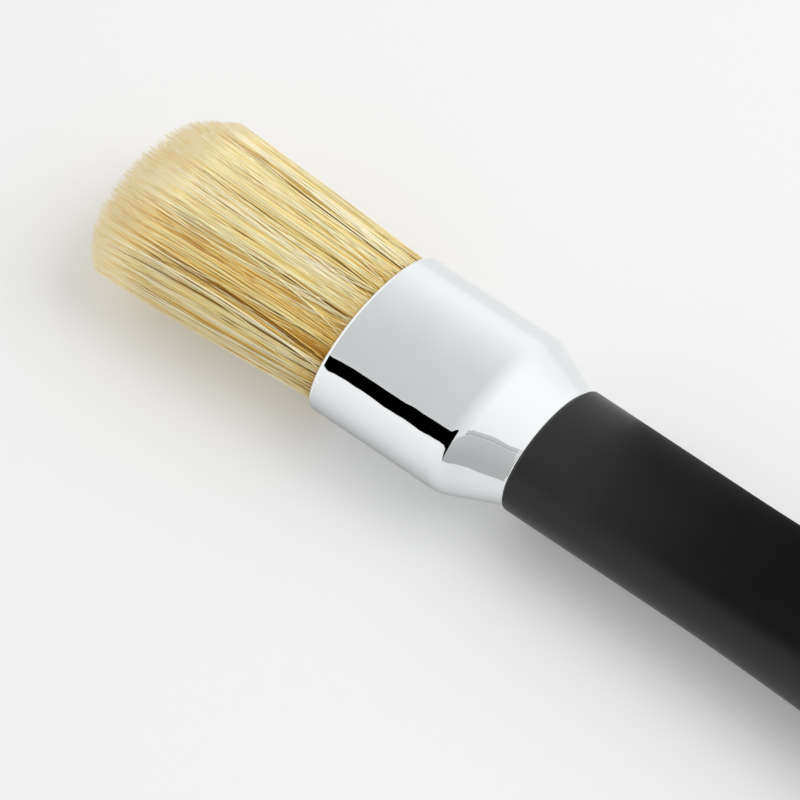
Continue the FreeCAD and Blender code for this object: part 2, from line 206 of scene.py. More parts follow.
# %% [markdown]
# ## Surface detail shared by the finishes
# No moulded or plated surface is perfectly even. One node group makes a fine grain and a broad unevenness
# from noise. Each finish takes the amounts that suit it, and uses the result as height or as roughness.

# %% Build the unevenness group
def build_unevenness():
    group = bpy.data.node_groups.new("unevenness", "ShaderNodeTree")
    sockets = group.interface
    for name, value in (("Broad Scale", 90.0), ("Fine Scale", 3000.0), ("Fine Share", 0.3)):
        socket = sockets.new_socket(name, in_out="INPUT", socket_type="NodeSocketFloat")
        socket.default_value = value
    sockets.new_socket("Height", in_out="OUTPUT", socket_type="NodeSocketFloat")
    inside = group.nodes.new("NodeGroupInput")
    outside = group.nodes.new("NodeGroupOutput")
    coords = group.nodes.new("ShaderNodeTexCoord").outputs["Object"]
    broad = add_node(group, "ShaderNodeTexNoise", {
        "Vector": coords, "Scale": inside.outputs["Broad Scale"], "Detail": 1.0})
    fine = add_node(group, "ShaderNodeTexNoise", {
        "Vector": coords, "Scale": inside.outputs["Fine Scale"], "Detail": 2.0})
    blend = add_node(group, "ShaderNodeMix", {
        "Factor": inside.outputs["Fine Share"],
        "A": broad.outputs["Fac"], "B": fine.outputs["Fac"]})
    group.links.new(blend.outputs["Result"], outside.inputs["Height"])
    return group


UNEVENNESS = build_unevenness()
print("unevenness takes:", [socket.name for socket in UNEVENNESS.interface.items_tree])


def unevenness(tree, broad, fine, share):
    """Place the group in a material with its own values."""
    node = tree.nodes.new("ShaderNodeGroup")
    node.node_tree = UNEVENNESS
    node.inputs["Broad Scale"].default_value = broad
    node.inputs["Fine Scale"].default_value = fine
    node.inputs["Fine Share"].default_value = share
    return node.outputs["Height"]


def bump(tree, shader, height, distance, strength=1.0):
    """Feed a height into the shader's normal."""
    node = add_node(tree, "ShaderNodeBump", {
        "Height": height, "Distance": distance, "Strength": strength})
    tree.links.new(node.outputs["Normal"], shader.inputs["Normal"])


# %% [markdown]
# ## Chrome
# The ferrule is a plated shell. Chrome is nearly a mirror, so its look is what it reflects. A very low,
# broad unevenness bends straight reflections a little, as plating over a pressed shell does.

# %% Chrome finish
def chrome_finish():
    material, tree, shader = new_material("mirror_chrome")
    shader.inputs["Metallic"].default_value = 1.0
    height = unevenness(tree, 130.0, 5000.0, 0.002)
    tint = ramp(tree, height, [(0.35, (0.885, 0.90, 0.905)), (0.65, (0.905, 0.915, 0.92))])
    tree.links.new(tint, shader.inputs["Base Color"])
    haze = ramp(tree, unevenness(tree, 320.0, 9000.0, 0.4), [(0.35, 0.012), (0.7, 0.03)])
    tree.links.new(haze, shader.inputs["Roughness"])
    bump(tree, shader, height, 0.035 * MM)
    return material


CHROME = chrome_finish()

# %% [markdown]
# ## The ferrule
# An oval tube with a cone behind it. The list of stations walks round its wall: out of the bristle pocket,
# over the rounded rim, along the barrel, over the soft shoulder, down the cone, round the back edge and
# into the handle's socket, to finish on the web where it began.

# %% Sizes and curves of the ferrule
RIM_ROUND = 0.6 * MM
SHOULDER_BLEND = 1.5 * MM
BACK_ROUND = 0.35 * MM
POCKET_LIP = 0.1 * MM
WEB = 2.5 * MM
SCREW_HOLE = 1.65 * MM
ARC_STEPS = 8
KEEP = 0.12 * MM
FERRULE_SIDES = 160


def corner_arc(steps):
    """Shares of a quarter turn: how far along, and how far out, a rounded corner has come."""
    for step in range(steps + 1):
        turn = math.pi / 2 * step / steps
        yield 1 - math.cos(turn), math.sin(turn)


def soft_shoulder():
    """Stations of the bend between barrel and cone, as a curve that leaves and meets both in line."""
    share = SHOULDER_BLEND / BARREL
    before = mix(SHOULDER, MOUTH, share)
    after = mix(SHOULDER, NECK, SHOULDER_BLEND / (NECK_X - SHOULDER_X))
    for step in range(ARC_STEPS + 1):
        t = step / ARC_STEPS
        x = SHOULDER_X + SHOULDER_BLEND * (2 * t - 1)
        weights = ((1 - t) ** 2, 2 * t * (1 - t), t * t)
        oval = [sum(w * o[axis] for w, o in zip(weights, (before, SHOULDER, after))) for axis in (0, 1)]
        yield x, *oval


def on_barrel(x):
    """The barrel's oval at a place, as a station."""
    return x, *mix(MOUTH, SHOULDER, (x - MOUTH_X) / BARREL)


def on_cone(x):
    """The cone's oval at a place, as a station."""
    return x, *mix(SHOULDER, NECK, (x - SHOULDER_X) / (NECK_X - SHOULDER_X))


# %% [markdown]
# A mirror shows every change of slope. Two extra rings, a little way in from the rim and from the shoulder,
# keep the long faces between them straight, so that only the rounded edges bend the reflections.

# %% Model the ferrule
def ferrule_stations():
    """The way round the ferrule's wall, from the web and back to it."""
    web_front = SHOULDER_X - WEB
    hole = (SCREW_HOLE, SCREW_HOLE)
    pocket = inset(mix(MOUTH, SHOULDER, 1 - WEB / BARREL), WALL)
    stations = [(web_front, *hole), (web_front, *pocket), (MOUTH_X + POCKET_LIP, *inset(MOUTH, WALL))]
    for along, out in corner_arc(ARC_STEPS):
        oval = inset(MOUTH, RIM_ROUND * (1 - out))
        stations.append((MOUTH_X + RIM_ROUND * along, *oval))
    stations.append(on_barrel(MOUTH_X + RIM_ROUND + KEEP))
    stations.append(on_barrel(SHOULDER_X - SHOULDER_BLEND - KEEP))
    stations.extend(soft_shoulder())
    stations.append(on_cone(SHOULDER_X + SHOULDER_BLEND + KEEP))
    stations.append(on_cone(NECK_X - BACK_ROUND - KEEP))
    lip = on_cone(NECK_X - BACK_ROUND)[1:]
    for along, out in corner_arc(ARC_STEPS // 2):
        x = NECK_X - BACK_ROUND * (1 - out)
        stations.append((x, *inset(lip, BACK_ROUND * along)))
    stations.append((NECK_X, *inset(NECK, WALL)))
    stations.append((SHOULDER_X, *inset(SHOULDER, WALL)))
    stations.append((SHOULDER_X, *hole))
    stations.append(stations[0])
    return stations


ferrule = oval_skin("ferrule_shell", ferrule_stations(), FERRULE_SIDES)
close_and_smooth(ferrule)
settle(ferrule, "chrome_shell", CHROME, "ferrule")

# %% [markdown]
# ## Soft-touch black
# The grip is moulded in a soft black rubber with a powdery, matte skin. A high roughness spreads the
# light, a fine grain keeps it from looking like plastic, and the colour is never quite black.

# %% Soft grip finish
def soft_finish():
    material, tree, shader = new_material("soft_black")
    grain = unevenness(tree, 160.0, 5200.0, 0.5)
    colour = ramp(tree, grain, [(0.35, (0.005, 0.005, 0.0052)), (0.65, (0.008, 0.008, 0.0082))])
    tree.links.new(colour, shader.inputs["Base Color"])
    rough = ramp(tree, grain, [(0.3, 0.36), (0.7, 0.44)])
    tree.links.new(rough, shader.inputs["Roughness"])
    shader.inputs["Specular IOR Level"].default_value = 0.42
    shader.inputs["Sheen Weight"].default_value = 0.06
    shader.inputs["Sheen Roughness"].default_value = 0.35
    bump(tree, shader, grain, 0.02 * MM, 0.5)
    return material


SOFT_BLACK = soft_finish()

# %% [markdown]
# ## The grip
# A sleeve with a rounded front edge, a straight stretch behind the neck, a gentle belly and a slimmer end.
# The swell follows half a cosine wave, so it starts and ends without a corner.

# %% Model the grip
GRIP_WALL = 1.8 * MM
GRIP_ROUND = 0.5 * MM
WAIST_X = NECK_X + 32 * MM
BELLY_X = NECK_X + 84 * MM
EDGE_STEPS = 6
RISE_STEPS = 24
FALL_STEPS = 16


def swell(start, first, end, last, steps):
    """Stations from one oval to another along half a cosine wave."""
    for step in range(1, steps + 1):
        along = step / steps
        share = (1 - math.cos(math.pi * along)) / 2
        yield start + (end - start) * along, *mix(first, last, share)


def grip_swell(rise_steps, fall_steps):
    """Stations from the straight stretch over the belly to the slimmer end."""
    yield from swell(WAIST_X, GRIP_FRONT, BELLY_X, BELLY, rise_steps)
    yield from swell(BELLY_X, BELLY, GRIP_END_X, REAR, fall_steps)


def grip_stations():
    """Along the outside of the sleeve and back along its inside, which has half as many rings."""
    stations = [(NECK_X, *inset(GRIP_FRONT, GRIP_WALL))]
    for along, out in corner_arc(EDGE_STEPS):
        x = NECK_X + GRIP_ROUND * along
        stations.append((x, *inset(GRIP_FRONT, GRIP_ROUND * (1 - out))))
    stations.append((WAIST_X, *GRIP_FRONT))
    stations.extend(grip_swell(RISE_STEPS, FALL_STEPS))
    stations.append((GRIP_END_X, *inset(REAR, GRIP_WALL)))
    inner = list(grip_swell(RISE_STEPS // 2, FALL_STEPS // 2))
    stations.extend((x, *inset(oval, GRIP_WALL)) for x, *oval in reversed(inner[:-1]))
    stations.append((WAIST_X, *inset(GRIP_FRONT, GRIP_WALL)))
    stations.append(stations[0])
    return stations


grip = oval_skin("grip_sleeve", grip_stations())
close_and_smooth(grip)
settle(grip, "soft_grip", SOFT_BLACK, "handle_grip")

# %% [markdown]
# ## The end cap
# The cap sweeps from the grip's oval down to a flat tongue with a hanging hole. It is made the way clay
# would be: the sweep and the tongue are joined into one lump, the lump is remeshed evenly, and a light
# smoothing rounds its edges as a mould would.

# %% Sizes and finish of the end cap
CAP_TAPER = 21 * MM
TONGUE = (9.5 * MM, 3.0 * MM)
TONGUE_ROOT = 8 * MM
TONGUE_COVER = 0.3 * MM
HOLE = 3.5 * MM
HOLE_X = cap_high.x - TONGUE[0]
PINPOINT = 0.2 * MM
SWEEP_STEPS = 20
CAP_SIDES = 96
CAP_VOXEL = 0.3 * MM
CAP_SOFTENING = 6


def cap_finish():
    material, tree, shader = new_material("satin_black")
    grain = unevenness(tree, 200.0, 3800.0, 0.55)
    colour = ramp(tree, grain, [(0.35, (0.010, 0.010, 0.0105)), (0.65, (0.015, 0.015, 0.0155))])
    tree.links.new(colour, shader.inputs["Base Color"])
    rough = ramp(tree, grain, [(0.3, 0.36), (0.7, 0.44)])
    tree.links.new(rough, shader.inputs["Roughness"])
    bump(tree, shader, grain, 0.02 * MM, 0.6)
    return material


# %% [markdown]
# The sweep is a stack of ovals with both ends filled. The tongue is a plate with a round end, and the
# hanging hole is drilled through it. Each tool is used for one boolean and then removed.

# %% Model the cap's lump
def add_boolean(piece, tool, operation):
    """Apply a boolean with a tool object, then remove the tool."""
    deselect_all()
    piece.select_set(True)
    bpy.context.view_layer.objects.active = piece
    modifier = piece.modifiers.new(operation, "BOOLEAN")
    modifier.operation = operation
    modifier.object = tool
    bpy.ops.object.modifier_apply(modifier=modifier.name)
    bpy.data.objects.remove(tool)


def cap_sweep():
    """The closed lump that runs from the grip's oval down to the tongue's."""
    taper_end = GRIP_END_X + CAP_TAPER
    stations = [(GRIP_END_X, PINPOINT, PINPOINT), (GRIP_END_X, *REAR)]
    stations.extend(swell(GRIP_END_X, REAR, taper_end, inset(TONGUE, TONGUE_COVER), SWEEP_STEPS))
    stations.append((taper_end, PINPOINT, PINPOINT))
    lump = oval_skin("cap_moulding", stations, CAP_SIDES)
    bpy.ops.object.mode_set(mode="EDIT")
    bpy.ops.mesh.select_all(action="SELECT")
    bpy.ops.mesh.fill_holes(sides=0)
    bpy.ops.mesh.normals_make_consistent(inside=False)
    bpy.ops.object.mode_set(mode="OBJECT")
    return lump


def upright_disc(radius, depth):
    """A round tool where the hanging hole is."""
    bpy.ops.mesh.primitive_cylinder_add(
        vertices=CAP_SIDES, radius=radius, depth=depth, location=(HOLE_X, 0, AXIS_Z))
    return bpy.context.object


def model_cap():
    """Join the sweep, the tongue and its round end, then drill the hole."""
    lump = cap_sweep()
    start = GRIP_END_X + TONGUE_ROOT
    run = HOLE_X - start
    deselect_all()
    bpy.ops.mesh.primitive_cube_add(size=1, location=(start + run / 2, 0, AXIS_Z))
    plate = bpy.context.object
    plate.scale = (run, 2 * TONGUE[0], 2 * TONGUE[1])
    round_end = upright_disc(TONGUE[0], 2 * TONGUE[1])
    for part in (plate, round_end):
        add_boolean(lump, part, "UNION")
    drill = upright_disc(HOLE, 8 * TONGUE[1])
    add_boolean(lump, drill, "DIFFERENCE")
    return lump


# %% [markdown]
# The voxel remesh gives even faces all over. The smoothing then rounds every edge alike, which also pulls
# the front face in a hair, so that face is pressed flat again where it meets the grip.

# %% Soften the cap
def soften_cap(cap):
    """Remesh evenly, smooth a little, then press the front face flat again on the grip."""
    remesh = cap.modifiers.new("even", "REMESH")
    remesh.mode = "VOXEL"
    remesh.voxel_size = CAP_VOXEL
    bpy.ops.object.modifier_apply(modifier="even")
    smooth = cap.modifiers.new("rounded", "SMOOTH")
    smooth.iterations = CAP_SOFTENING
    bpy.ops.object.modifier_apply(modifier="rounded")
    for vertex in cap.data.vertices:
        vertex.co.x = max(vertex.co.x, GRIP_END_X)
    bpy.ops.object.shade_smooth()
    print(f"end cap: {len(cap.data.polygons)} faces")


cap = model_cap()
soften_cap(cap)
settle(cap, "cap_plastic", cap_finish(), "end_cap")

# %% [markdown]
# ## The tuft
# Thousands of boar bristles, each a thin three-sided tube that tapers to its tip. A hair system would be
# quick, but a real mesh renders and exports the same everywhere. One bristle would be modelled by hand
# and copied; here its rings are worked out in one go, because ten thousand separate copies would be slow.
#
# A tuft isn't even. Bristles gather into locks that drift together towards the tip and leave dark slits
# between them, and a few stray bristles cross the others. Each bristle carries a UV map: along it from
# root to tip, and across by its tint, so that the finish can colour every bristle by itself.

# %% Sizes of the tuft
TUFT_LENGTH = MOUTH_X - tuft_low.x
ROOT_OVAL = (15.25 * MM, 9.95 * MM)
TIP_OVAL = (17.45 * MM, 11.3 * MM)
ROOT_SHARE = 0.985
ROOT_DEPTH = 3 * MM
DOME = 6.4 * MM
DOME_POWER = 4.7
NEAR_REACH = 0.3
RINGS = 9
SIDES = 3
LOCKS = 330
DRIFT_POWER = 0.6
rng = np.random.default_rng(7)
print(f"{TUFT_LENGTH / MM:.1f} mm of bristle in {LOCKS} locks")


# %% [markdown]
# Bristles start spread over the root's oval. Each belongs to the lock whose centre is nearest. Its centre
# line fans out evenly, and the lock's drift is added early, so that locks lean across each other near the
# ferrule and run on side by side.

# %% Lay out the bristles
def disc_points(count):
    """Points spread over a unit disc."""
    radius = np.sqrt(rng.random(count))
    angle = rng.random(count) * 2 * np.pi
    return np.stack([radius * np.cos(angle), radius * np.sin(angle)], 1)


def nearest_lock(points, centres):
    """Index of each point's nearest lock centre."""
    gaps = ((points[:, None, :] - centres[None, :, :]) ** 2).sum(2)
    return gaps.argmin(1)


def tuft_paths(roots, tips, falls, drift, bend):
    """Centre lines (bristle, ring, xyz): an even fan, plus each lock's drift, which starts early."""
    t = np.linspace(0, 1, RINGS)[None, :, None]
    start = np.zeros((len(roots), 3))
    start[:, 0] = MOUTH_X + ROOT_DEPTH
    start[:, 1:] = roots * ROOT_OVAL
    end = np.zeros((len(roots), 3))
    end[:, 0] = MOUTH_X - TUFT_LENGTH + falls
    end[:, 1:] = tips * TIP_OVAL
    line = start[:, None, :] + (end - start)[:, None, :] * t
    line[:, :, 1:] += (drift * TIP_OVAL)[:, None, :] * (t ** DRIFT_POWER - t)
    line[:, :, 1:] += np.sin(np.pi * t) * bend[:, None, :]
    line[:, :, 2] += AXIS_Z
    return line


# %% [markdown]
# Ten thousand bristles can't each have their own share of a UV map, so bristles of like tint share one band.
# They also share its colours, so it doesn't matter that they overlap there. Every face keeps some width in
# the map, because a face without width can't be baked.

# %% UV map of the bristles
TINT_BANDS = 48
BAND_EDGE = 0.1
CAP_SHARE = 0.01


def tube_uv(tints, rings):
    """UV corners of every tube, face by face: sides first, then the root caps, then the tip caps."""
    low = (np.floor(tints * TINT_BANDS) + BAND_EDGE) / TINT_BANDS
    wide = (1 - 2 * BAND_EDGE) / TINT_BANDS
    sides = (len(tints), rings - 1, SIDES, 4)
    side_u = np.broadcast_to((np.arange(rings - 1)[:, None, None] + (0, 1, 1, 0)) / (rings - 1), sides)
    side_v = np.broadcast_to(low[:, None, None, None] + wide * np.array((0, 0, 1, 1)), sides)
    cap_u = np.broadcast_to((0, CAP_SHARE, 0), (len(tints), SIDES))
    cap_v = low[:, None] + wide * np.array((0, 0, 1))
    u = np.concatenate([side_u.ravel(), cap_u.ravel(), 1 - cap_u.ravel()])
    v = np.concatenate([side_v.ravel(), cap_v.ravel(), cap_v.ravel()])
    return np.stack([u, v], 1).astype(np.float32).ravel()


# %% [markdown]
# A bristle is a tube of three sides. Rings of three points are set round its centre line, joined ring to
# ring, and closed at both ends, with the corners in the order that points each face outwards.

# %% Mesh of the bristles
LOWEST = 0.02 * MM


def tube_points(lines, widths):
    """Rings of points round centre lines, kept off the table."""
    along = np.gradient(lines, axis=1)
    along /= np.linalg.norm(along, axis=2, keepdims=True)
    side = np.cross(along, (0, 0, 1.0))
    side /= np.linalg.norm(side, axis=2, keepdims=True)
    up = np.cross(side, along)
    turn = rng.random(len(lines))[:, None] * 2 * np.pi + np.arange(SIDES)[None, :] * 2 * np.pi / SIDES
    ring = (
        side[:, :, None, :] * np.cos(turn)[:, None, :, None]
        + up[:, :, None, :] * np.sin(turn)[:, None, :, None]
    )
    points = lines[:, :, None, :] + ring * widths[:, :, None, None]
    points = points.reshape(-1, 3)
    points[:, 2] = np.maximum(points[:, 2], LOWEST)
    return points


def tube_mesh(name, lines, widths, tints):
    """A mesh of three-sided tubes round centre lines, closed at both ends, with its UV map."""
    count, rings, _ = lines.shape
    points = tube_points(lines, widths)
    first = (np.arange(count) * rings * SIDES)[:, None, None]
    level = (np.arange(rings - 1) * SIDES)[None, :, None]
    corner = np.arange(SIDES)[None, None, :]
    here = first + level + corner
    beside = first + level + (corner + 1) % SIDES
    quads = np.stack([here, here + SIDES, beside + SIDES, beside], -1).reshape(-1, 4)
    root_caps = first[:, 0, :] + np.arange(SIDES)
    tip_caps = root_caps[:, ::-1] + (rings - 1) * SIDES
    mesh = bpy.data.meshes.new(name)
    mesh.from_pydata(points.tolist(), [], quads.tolist() + root_caps.tolist() + tip_caps.tolist())
    mesh.uv_layers.new(name="OFBake").uv.foreach_set("vector", tube_uv(tints, rings))
    mesh.shade_smooth()
    piece = bpy.data.objects.new(name, mesh)
    bpy.context.scene.collection.objects.link(piece)
    print(f"{name}: {count} bristles, {len(mesh.polygons)} faces")
    return piece


# %% [markdown]
# ## Bristle colour
# Boar bristle is cream at the tip and golden towards the root, and no two are alike. The finish reads
# the UV map: along it the colour warms towards the root, and the stretch by the root is darkened too,
# which is painted shade; across it each bristle has its own tint. Light also passes through real bristle.
# A faint glow of its own colour, stronger at the tip, stands in for that.

# %% Bristle finish
BODY_TINTS = [
    (0.0, (0.07, 0.025, 0.006)), (0.05, (0.70, 0.38, 0.06)), (0.15, (0.95, 0.66, 0.17)),
    (0.45, (1.0, 0.82, 0.36)), (0.75, (1.0, 0.90, 0.54)), (1.0, (1.0, 0.94, 0.70)),
]
TIP_TINTS = [(0.0, (0.84, 0.66, 0.36)), (0.4, (0.98, 0.88, 0.58)), (1.0, (1.0, 0.95, 0.76))]
TIP_SHARE = [(0.0, 0.0), (0.6, 0.0), (0.88, 0.35), (1.0, 0.9)]
# Darkening of the bristles by the root: painted shade near the ferrule's mouth, not their own colour.
ROOT_PAINTED_SHADE = [(0.0, (0.75, 0.62, 0.42)), (0.08, (0.9, 0.82, 0.66)), (0.2, (1.0, 1.0, 1.0))]
GLOW_ALONG = [(0.0, 0.03), (0.3, 0.06), (0.8, 0.08), (1.0, 0.23)]


def mix_colours(tree, first, second, share, blend="MIX"):
    """Mix or multiply two colours. A Mix node's colour sockets share names, so they go by number."""
    node = add_node(tree, "ShaderNodeMix", {"Factor": share}, data_type="RGBA", blend_type=blend)
    tree.links.new(first, node.inputs[6])
    tree.links.new(second, node.inputs[7])
    return node.outputs[2]


def bristle_finish():
    material, tree, shader = new_material("boar_bristle")
    place = add_node(tree, "ShaderNodeUVMap", uv_map="OFBake").outputs["UV"]
    parts = add_node(tree, "ShaderNodeSeparateXYZ", {"Vector": place})
    along, tint = parts.outputs["X"], parts.outputs["Y"]
    body = ramp(tree, tint, BODY_TINTS)
    pale = ramp(tree, tint, TIP_TINTS)
    mixed = mix_colours(tree, body, pale, ramp(tree, along, TIP_SHARE))
    # Multiply in the painted shade by the root.
    shaded = mix_colours(tree, mixed, ramp(tree, along, ROOT_PAINTED_SHADE), 1.0, "MULTIPLY")
    glow = mix_colours(tree, shaded, ramp(tree, along, GLOW_ALONG), 1.0, "MULTIPLY")
    tree.links.new(shaded, shader.inputs["Base Color"])
    tree.links.new(glow, shader.inputs["Emission Color"])
    shader.inputs["Emission Strength"].default_value = 1.0
    shader.inputs["Roughness"].default_value = 0.42
    shader.inputs["Specular IOR Level"].default_value = 0.25
    return material


BRISTLE = bristle_finish()

# %% [markdown]
# Each lock gets its own lean, length, bend and tint, and every bristle differs a little from its lock. A few
# bristles are almost black. Lengths fall off towards the edge, which domes the tip. The tuft is grown as
# four pieces, from its heart out to a thin coat of pale strays that cross the others.

# %% Locks
LOCK_CENTRES = disc_points(LOCKS)
LOCK_DRIFT = rng.normal(0, 0.125, (LOCKS, 2))
LOCK_FALL = rng.random(LOCKS) * 1.3 * MM
LOCK_BEND = rng.normal(0, 0.35 * MM, (LOCKS, 2))
LOCK_TINT = rng.normal(0, 0.14, LOCKS)
PULL_LEAST = 0.6
TIP_JITTER = 0.07
END_FALL = 0.95 * MM
SHORTEST = 0.5
BRISTLE_BEND = 0.45 * MM
MOST_SWELLING = 0.05 * MM
print(f"locks lean up to {np.abs(LOCK_DRIFT).max():.2f} of the tip's half width")


def outward(points):
    """Unit directions from the middle, and how far out the points are."""
    reach = np.linalg.norm(points, axis=1, keepdims=True)
    return points / np.maximum(reach, 1e-6), reach


# %% Bends and lengths of the bristles
def tip_falls(tips, lock):
    """How far short of the tuft's tip each bristle ends: more at the edge and on the near side."""
    near_side = 1 + NEAR_REACH * tips[:, 0]
    spread = np.minimum(np.linalg.norm(tips, axis=1), 1)
    falls = DOME * near_side * spread ** DOME_POWER + LOCK_FALL[lock]
    falls = falls + rng.exponential(END_FALL, len(tips))
    return np.minimum(falls, SHORTEST * TUFT_LENGTH)


def side_bends(base, lock, lift):
    """How far each bristle bows sideways. Almost none may bow outwards, apart from the lift."""
    bend = rng.normal(0, BRISTLE_BEND, (len(base), 2)) + LOCK_BEND[lock]
    outwards, _ = outward(base)
    swelling = (bend * outwards).sum(1, keepdims=True)
    bend -= outwards * np.maximum(swelling - MOST_SWELLING, 0)
    return bend + outwards * lift * rng.random((len(base), 1))


# %% Grow the tuft
FLOOR_GAP = 0.15 * MM
RAGGED = 0.5 * MM
THINNEST = 0.75
THICKER = 0.5
TAPER = 0.75
TAPER_POWER = 6
TINT_MIDDLE = 0.46
TINT_SPREAD = 0.21
TINT_ENDS = (0.06, 0.99)
DARK_SHARE = 0.025
DARK_TINT = 0.02
HAIR = 0.115 * MM
STRAY_HAIR = 0.125 * MM
STRAY_LIFT = 0.3 * MM


def grow(name, count, edge=0.0, gather=0.5, stray=0.04, wander=0.2, radius=HAIR, pale=0.0, lift=0.0):
    """A share of the tuft: edge pushes bristles outwards, gather draws them into locks."""
    directions, reach = outward(disc_points(count))
    base = directions * (edge + (1 - edge) * reach)
    lock = nearest_lock(base, LOCK_CENTRES)
    pull = gather * (PULL_LEAST + (1 - PULL_LEAST) * rng.random((count, 1)))
    drift = (LOCK_CENTRES[lock] - base) * pull + LOCK_DRIFT[lock]
    drift = drift + rng.normal(0, TIP_JITTER, (count, 2))
    wild = rng.random(count) < stray
    drift[wild] += rng.normal(0, wander, (wild.sum(), 2))
    tips = base + drift
    length = np.linalg.norm(tips, axis=1, keepdims=True)
    tips = np.where(length > 1, tips / length, tips)
    falls = tip_falls(tips, lock)
    bend = side_bends(base, lock, lift)
    lines = tuft_paths(base * ROOT_SHARE, tips, falls, tips - base, bend)
    low = FLOOR_GAP + RAGGED * rng.random(count)[:, None]
    lines[:, :, 2] = np.maximum(lines[:, :, 2], low)
    t = np.linspace(0, 1, RINGS)[None, :]
    width = radius * (THINNEST + THICKER * rng.random((count, 1))) * (1 - TAPER * t ** TAPER_POWER)
    tints = rng.normal(TINT_MIDDLE, TINT_SPREAD, count) + LOCK_TINT[lock] + pale
    tints = np.where(rng.random(count) < DARK_SHARE, DARK_TINT, np.clip(tints, *TINT_ENDS))
    return tube_mesh(name, lines, width, tints)


SKIN = {"edge": 0.86, "gather": 0.8, "stray": 0.2, "wander": 0.28}
STRAYS = {"edge": 0.96, "stray": 0.9, "wander": 0.3, "radius": STRAY_HAIR, "pale": 0.4, "lift": STRAY_LIFT}
for name, count, choices in (
    ("tuft_heart", 3200, {}),
    ("tuft_middle", 3200, {"edge": 0.5}),
    ("tuft_skin", 3400, SKIN),
    ("tuft_strays", 800, STRAYS),
):
    settle(grow(name, count, **choices), "bristle", BRISTLE, "bristle_bundle")

# %% [markdown]
# ## Hidden pieces
# The tuft's root and the handle's joint are closed in, but each piece inside still has its own finish, so
# that the brush looks right taken apart. Their shapes are the engineering model's own. All but the wooden
# plug share one recipe: a dark and a light shade of the same stuff, a roughness and two grain sizes.

# %% Finishes of the hidden pieces
def inner_finish(name, dark, light, roughness, broad, fine, metallic=0.0):
    """Rubber, resin, plastic or steel, by its shades, roughness and grain."""
    material, tree, shader = new_material(name)
    grain = unevenness(tree, broad, fine, 0.45)
    tree.links.new(ramp(tree, grain, [(0.3, dark), (0.7, light)]), shader.inputs["Base Color"])
    spread = ramp(tree, grain, [(0.3, roughness), (0.7, min(roughness + 0.12, 1.0))])
    tree.links.new(spread, shader.inputs["Roughness"])
    shader.inputs["Metallic"].default_value = metallic
    bump(tree, shader, grain, 0.03 * MM, 0.6)
    return material


def wood_finish():
    """Beech: long streaks along the brush."""
    material, tree, shader = new_material("beech")
    coords = add_node(tree, "ShaderNodeTexCoord").outputs["Object"]
    stretched = add_node(tree, "ShaderNodeMapping", {"Vector": coords, "Scale": (60.0, 900.0, 900.0)})
    streaks = add_node(tree, "ShaderNodeTexNoise", {
        "Vector": stretched.outputs["Vector"], "Scale": 1.0, "Detail": 4.0}).outputs["Fac"]
    colour = ramp(tree, streaks, [(0.3, (0.38, 0.24, 0.12)), (0.7, (0.62, 0.44, 0.25))])
    tree.links.new(colour, shader.inputs["Base Color"])
    shader.inputs["Roughness"].default_value = 0.6
    bump(tree, shader, streaks, 0.05 * MM, 0.5)
    return material


# %% Put them on the hidden pieces
INNER = {
    "root_band": ("tan_rubber", (0.15, 0.10, 0.05), (0.22, 0.15, 0.08), 0.6, 300, 4000),
    "resin_plug": ("amber_resin", (0.10, 0.05, 0.015), (0.16, 0.08, 0.03), 0.2, 200, 2000),
    "ferrule_screw": ("screw_steel", (0.42, 0.42, 0.43), (0.55, 0.55, 0.56), 0.3, 500, 6000, 1.0),
    "screw_washer": ("washer_steel", (0.40, 0.40, 0.41), (0.52, 0.52, 0.53), 0.34, 500, 6000, 1.0),
    "tang_seal": ("seal_rubber", (0.012, 0.012, 0.012), (0.02, 0.02, 0.02), 0.55, 300, 5000),
    "handle_core": ("core_plastic", (0.03, 0.03, 0.032), (0.05, 0.05, 0.052), 0.45, 200, 4000),
}
HIDDEN = {node: inner_finish(*choices) for node, choices in INNER.items()}
HIDDEN["spacer_plug"] = wood_finish()
for node, material in HIDDEN.items():
    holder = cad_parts[node]
    holder.data.materials.clear()
    holder.data.materials.append(material)
print("finished inside:", sorted(HIDDEN))

# %% [markdown]
# ## Camera
# A long lens from high on the right, which keeps the brush's edges almost parallel. The camera is placed by
# its two angles, and then by how far the neck of the brush is right of and below the middle of the view.

# %% Place the camera
AZIMUTH = math.radians(38.81)
ELEVATION = math.radians(55.65)
DISTANCE = 1.89448
NECK_RIGHT = 23.643 * MM
NECK_DOWN = 7.862 * MM
LENS = 540
SENSOR = 36
FAR_CLIP = 20
right = Vector((math.cos(AZIMUTH), math.sin(AZIMUTH), 0))
back = Vector((
    math.sin(AZIMUTH) * math.cos(ELEVATION),
    -math.cos(AZIMUTH) * math.cos(ELEVATION),
    math.sin(ELEVATION),
))
above = back.cross(right)
neck = Vector((NECK_X, 0, AXIS_Z))
eye = neck - right * NECK_RIGHT + above * NECK_DOWN + back * DISTANCE
lens = bpy.data.cameras.new("camera")
lens.lens = LENS
lens.sensor_width = SENSOR
lens.clip_end = FAR_CLIP
camera = bpy.data.objects.new("camera", lens)
camera.matrix_world = Matrix((
    (right.x, above.x, back.x, eye.x),
    (right.y, above.y, back.y, eye.y),
    (right.z, above.z, back.z, eye.z),
    (0, 0, 0, 1),
))
bpy.context.scene.collection.objects.link(camera)
bpy.context.scene.camera = camera
print("camera at", [round(value, 3) for value in eye])

# %% [markdown]
# ## Table
# A pale table. The brush's shadow stays on it. For the camera, and in reflections, the table glows very
# slightly, which makes the background paler without putting more light on the brush.

# %% Table
TABLE_GLOW = 0.18
TABLE_SIZE = 6.0


